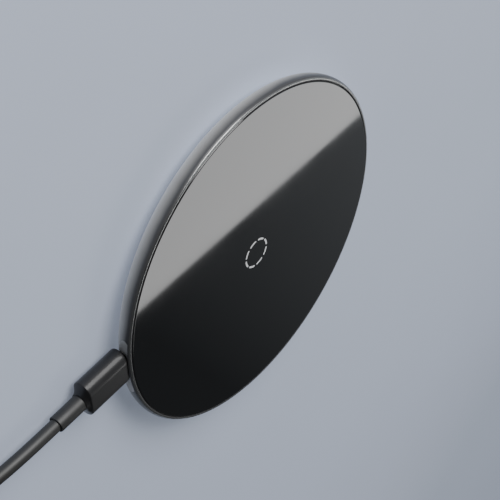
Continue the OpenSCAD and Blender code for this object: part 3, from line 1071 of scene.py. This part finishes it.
@dataclass(frozen=True)
class SupplyPlug(MouldedPlug):
    """The far-end plug: moulded body with grip grooves, neck, shell, insert and contacts."""

    x: float = 1.75
    z: float = 3.8
    neck_start: float = 150.5
    neck_length: float = 6.8
    shoulder: float = 1.8
    width: float = 15.6
    height: float = 7.6
    corner: float = 1.2
    length: float = 20.0
    edge: float = 0.4
    shoulder_edge: float = 0.6
    grooves: int = 5
    groove_start: float = 2.4
    groove_pitch: float = 1.5
    kept: tuple[tuple[Finish, str], ...] = (
        (NICKEL, "supply_shell"), (INSERT, "supply_insert"), (GOLD, "supply_contacts"))

    def section(self, inset: float = 0.0) -> list[Flat]:
        """Gives the body's section, which keeps its corner radius."""
        return rounded_section(self.width - 2 * inset, self.height - 2 * inset, self.corner)

    def body(self) -> bpy.types.Object:
        """Builds the moulded body with its grip grooves."""
        seam = self.neck_start + self.neck_length
        rear, face = seam + self.shoulder, seam + self.shoulder + self.length
        steps, soft, edge = 6, self.shoulder_edge, self.edge
        stations = [(between(self.collar(), self.section(0.9), (i / steps) ** 1.2),
                     seam + self.shoulder * i / steps) for i in range(steps)]
        stations += [(self.section(soft - dx), rear + soft - dy)
                     for dx, dy in arc((0, 0), (soft, soft), 75, 0, 5)]
        groove = ((0, -0.02), (0.2, 0.12), (0.3, 0.35), (0.2, 0.58), (0, 0.72))
        for k in range(self.grooves):
            y = rear + self.groove_start + self.groove_pitch * k
            stations += [(self.section(inset), y + step) for inset, step in groove]
        stations.append((self.section(), face - 3))
        stations += [(self.section(edge - dx), face - edge + dy)
                     for dx, dy in arc((0, 0), (edge, edge), 0, 90, 5)]
        rings = [along_y(ring, y, self.x, self.z) for ring, y in stations]
        body = build("supply_plug_body", [loft(rings)], 40)
        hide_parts("supply_body")
        return settle(body, Body.LEAD, PLUG)

    def neck(self) -> bpy.types.Object:
        """Builds the neck, hollow where the cable enters."""
        start = self.neck_start + self.neck_length
        neck = neck_piece("supply_plug_neck", start, self.neck_length, -1, (self.x, self.z),
                          self.neck_diameter, self.bore_radius, self.bore_length)
        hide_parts("supply_neck")
        return settle(neck, Body.LEAD, NECK)


@dataclass(frozen=True)
class SupplyLead:
    """The cable: out of the plug, down to the desk, into a stored coil and on to its far plug."""

    diameter: float = 3.5
    length: float = 980.0
    exit: Spot = (0.0, 71.8, 3.75)
    lead_in: tuple[Flat, ...] = (
        (71.8, 3.75), (76, 3.75), (82, 3.72), (88, 3.55), (93, 3.25), (98, 2.8), (102, 2.4),
        (106, 2.05), (110, 1.8), (113, 1.8), (115.5, 1.95), (118.6, 2.25), (123, 2.25), (128, 2.25))
    tail: tuple[Flat, ...] = (
        (128, 5.28), (130, 5.36), (132, 5.5), (134.5, 5.68), (137, 5.78), (139, 5.7), (141, 5.36),
        (143, 4.85), (145, 4.35), (147, 4.0), (149, 3.83), (150.4, 3.8), (151.7, 3.8))
    centre: Flat = (25.25, 128.0)
    outer_row: float = 25.25
    floor_row_z: float = 2.25
    nest: float = 60.0
    turns: int = 8
    climb: Flat = (4.66, 4.80)
    step_in: Flat = (0.81, 0.97)
    step_out: Flat = (0.57, 0.76)
    steps_per_turn: int = 80
    facets: int = 20
    tie_width: float = 8.0
    tie_gap: float = 0.03
    tie_thickness: float = 0.45

    def inward_steps(self) -> int:
        """Counts how often the bottom layer steps in."""
        return int(self.climb[0])

    def layer_rise(self) -> float:
        """Gives how far the top layer lies above the bottom one that it nests in."""
        return self.diameter * math.sin(math.radians(self.nest))

    def station(self, t: float) -> Flat:
        """Finds where the cable is after so many turns of the coil.

        Args:
            t: number of turns since the coil's start.

        Returns:
            Radius and height.
        """
        pitch = self.diameter
        window_in = self.step_in[1] - self.step_in[0]
        window_out = self.step_out[1] - self.step_out[0]
        steps = [(t - n - self.step_in[0]) / window_in for n in range(self.turns)]
        if t <= self.climb[1]:
            moved = sum(ease(s) for s in steps[:self.inward_steps()])
            radius = self.outer_row - pitch * moved
            climbed = ease((t - self.climb[0]) / (self.climb[1] - self.climb[0]))
            lift = math.radians(self.nest * climbed)
            return radius + pitch * (1 - math.cos(lift)), self.floor_row_z + pitch * math.sin(lift)
        inward = self.inward_steps()
        outs = [(t - n - self.step_out[0]) / window_out for n in range(inward + 1, self.turns)]
        radius = self.outer_row - pitch * inward + pitch / 2 + pitch * sum(map(ease, outs))
        over = sum(math.sin(math.pi * s) for s in steps + outs if 0 < s < 1)
        height = self.floor_row_z + self.layer_rise()
        return radius, height + (pitch - self.layer_rise()) * over

    def route(self) -> list[Vector]:
        """Lists the centreline's points from plug to plug."""
        points = fair([(0.0, y, z) for y, z in self.lead_in])
        count = self.turns * self.steps_per_turn
        for i in range(1, count):
            t = self.turns * i / count
            radius, height = self.station(t)
            angle = math.pi - 2 * math.pi * t
            points.append(Vector((self.centre[0] + radius * math.cos(angle),
                                  self.centre[1] + radius * math.sin(angle), height)))
        end = self.centre[0] - self.station(self.turns - 0.001)[0]
        return points + fair([(end, y, z) for y, z in self.tail])

    def cable(self) -> bpy.types.Object:
        """Sweeps the cable's round section along its route, and returns the cable."""
        points = self.route()
        half = self.diameter / 2
        section = arc((0, 0), (half, half), 0, 360, self.facets)[:-1]
        rings = []
        for i, point in enumerate(points):
            ahead = (points[min(i + 1, len(points) - 1)] - points[max(i - 1, 0)]).normalized()
            side = ahead.cross(Vector((0, 0, 1))).normalized()
            rise = side.cross(ahead)
            rings.append([point + side * x + rise * z for x, z in section])
        cable = build("supply_cable", [loft(rings)], 60)
        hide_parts("lead_cable", "cable_coil", "tail_cable")
        return settle(cable, Body.LEAD, JACKET)

    def tie(self) -> bpy.types.Object:
        """Wraps a woven strap round the coil's turns, and returns it."""
        pitch, low = self.diameter, self.floor_row_z
        high = low + self.layer_rise()
        inner = self.outer_row - pitch * self.inward_steps()
        rows = [(inner, low), (self.outer_row, low), (self.outer_row - 1.5 * pitch, high),
                (inner + pitch / 2, high)]
        inside = hull_round(rows, pitch / 2 + self.tie_gap)
        outside = hull_round(rows, pitch / 2 + self.tie_gap + self.tie_thickness)
        slices, edge_share = 12, 0.12
        x, middle = self.centre
        rings = []
        for k in range(slices + 1):
            y = self.tie_width * (k / slices - 0.5)
            thin = edge_share if k in (0, slices) else 0.0
            rings.append([[(x + math.sqrt(r * r - y * y), middle + y, z)
                           for r, z in between(inside, outside, share)]
                          for share in (thin, 1 - thin)])
        around = [ring[0] for ring in rings] + [ring[1] for ring in reversed(rings)]
        strap = build("tie_strap", [loft(around, closed=True)], 50)
        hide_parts("cable_tie")
        return settle(strap, Body.LEAD, STRAP)

    def declare(self) -> None:
        [tuple(point * MM) for point in self.route()]


def fair(corners: Sequence[Sequence[float]], steps: int = 5) -> list[Vector]:
    """Runs a smooth line through points.

    Args:
        corners: the points.
        steps: stretches between two points.

    Returns:
        The line's points.
    """
    spots = [Vector(c) for c in corners]
    line = []
    for i in range(len(spots) - 1):
        a, b = spots[i], spots[i + 1]
        before = spots[i - 1] if i else a * 2 - b
        after = spots[i + 2] if i + 2 < len(spots) else b * 2 - a
        for k in range(steps):
            u = k / steps
            square, cube = 2 * before - 5 * a + 4 * b - after, 3 * a - before - 3 * b + after
            line.append(0.5 * ((2 * a) + (b - before) * u + square * u * u + cube * u ** 3))
    return line + [spots[-1]]


def hull_round(rows: Sequence[Flat], radius: float, steps: int = 10) -> list[Flat]:
    """Outlines a band drawn tight round equal circles.

    Args:
        rows: the circles' centres, anticlockwise.
        radius: their radius.
        steps: stretches round each circle.

    Returns:
        The closed outline.
    """
    outline: list[Flat] = []
    count = len(rows)
    for i, middle in enumerate(rows):
        before, after = rows[i - 1], rows[(i + 1) % count]
        into = math.degrees(math.atan2(middle[1] - before[1], middle[0] - before[0])) - 90
        out = math.degrees(math.atan2(after[1] - middle[1], after[0] - middle[0])) - 90
        while out < into:
            out += 360
        outline += arc(middle, (radius, radius), into, out, steps)
    return outline


def main() -> None:
    """Builds the scene in order."""
    logging.basicConfig(level=logging.INFO, format="%(message)s")
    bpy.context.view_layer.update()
    Viewpoint().place()
    lead = SupplyLead()
    cable = lead.cable()
    strap = lead.tie()
    near_plug = PadPlug().assemble()
    far_plug = SupplyPlug().assemble()
    lead.declare()
    PadShell().assemble()
    PadInside().assemble()
    Studio().set_up()


if __name__ == "__main__":
    main()
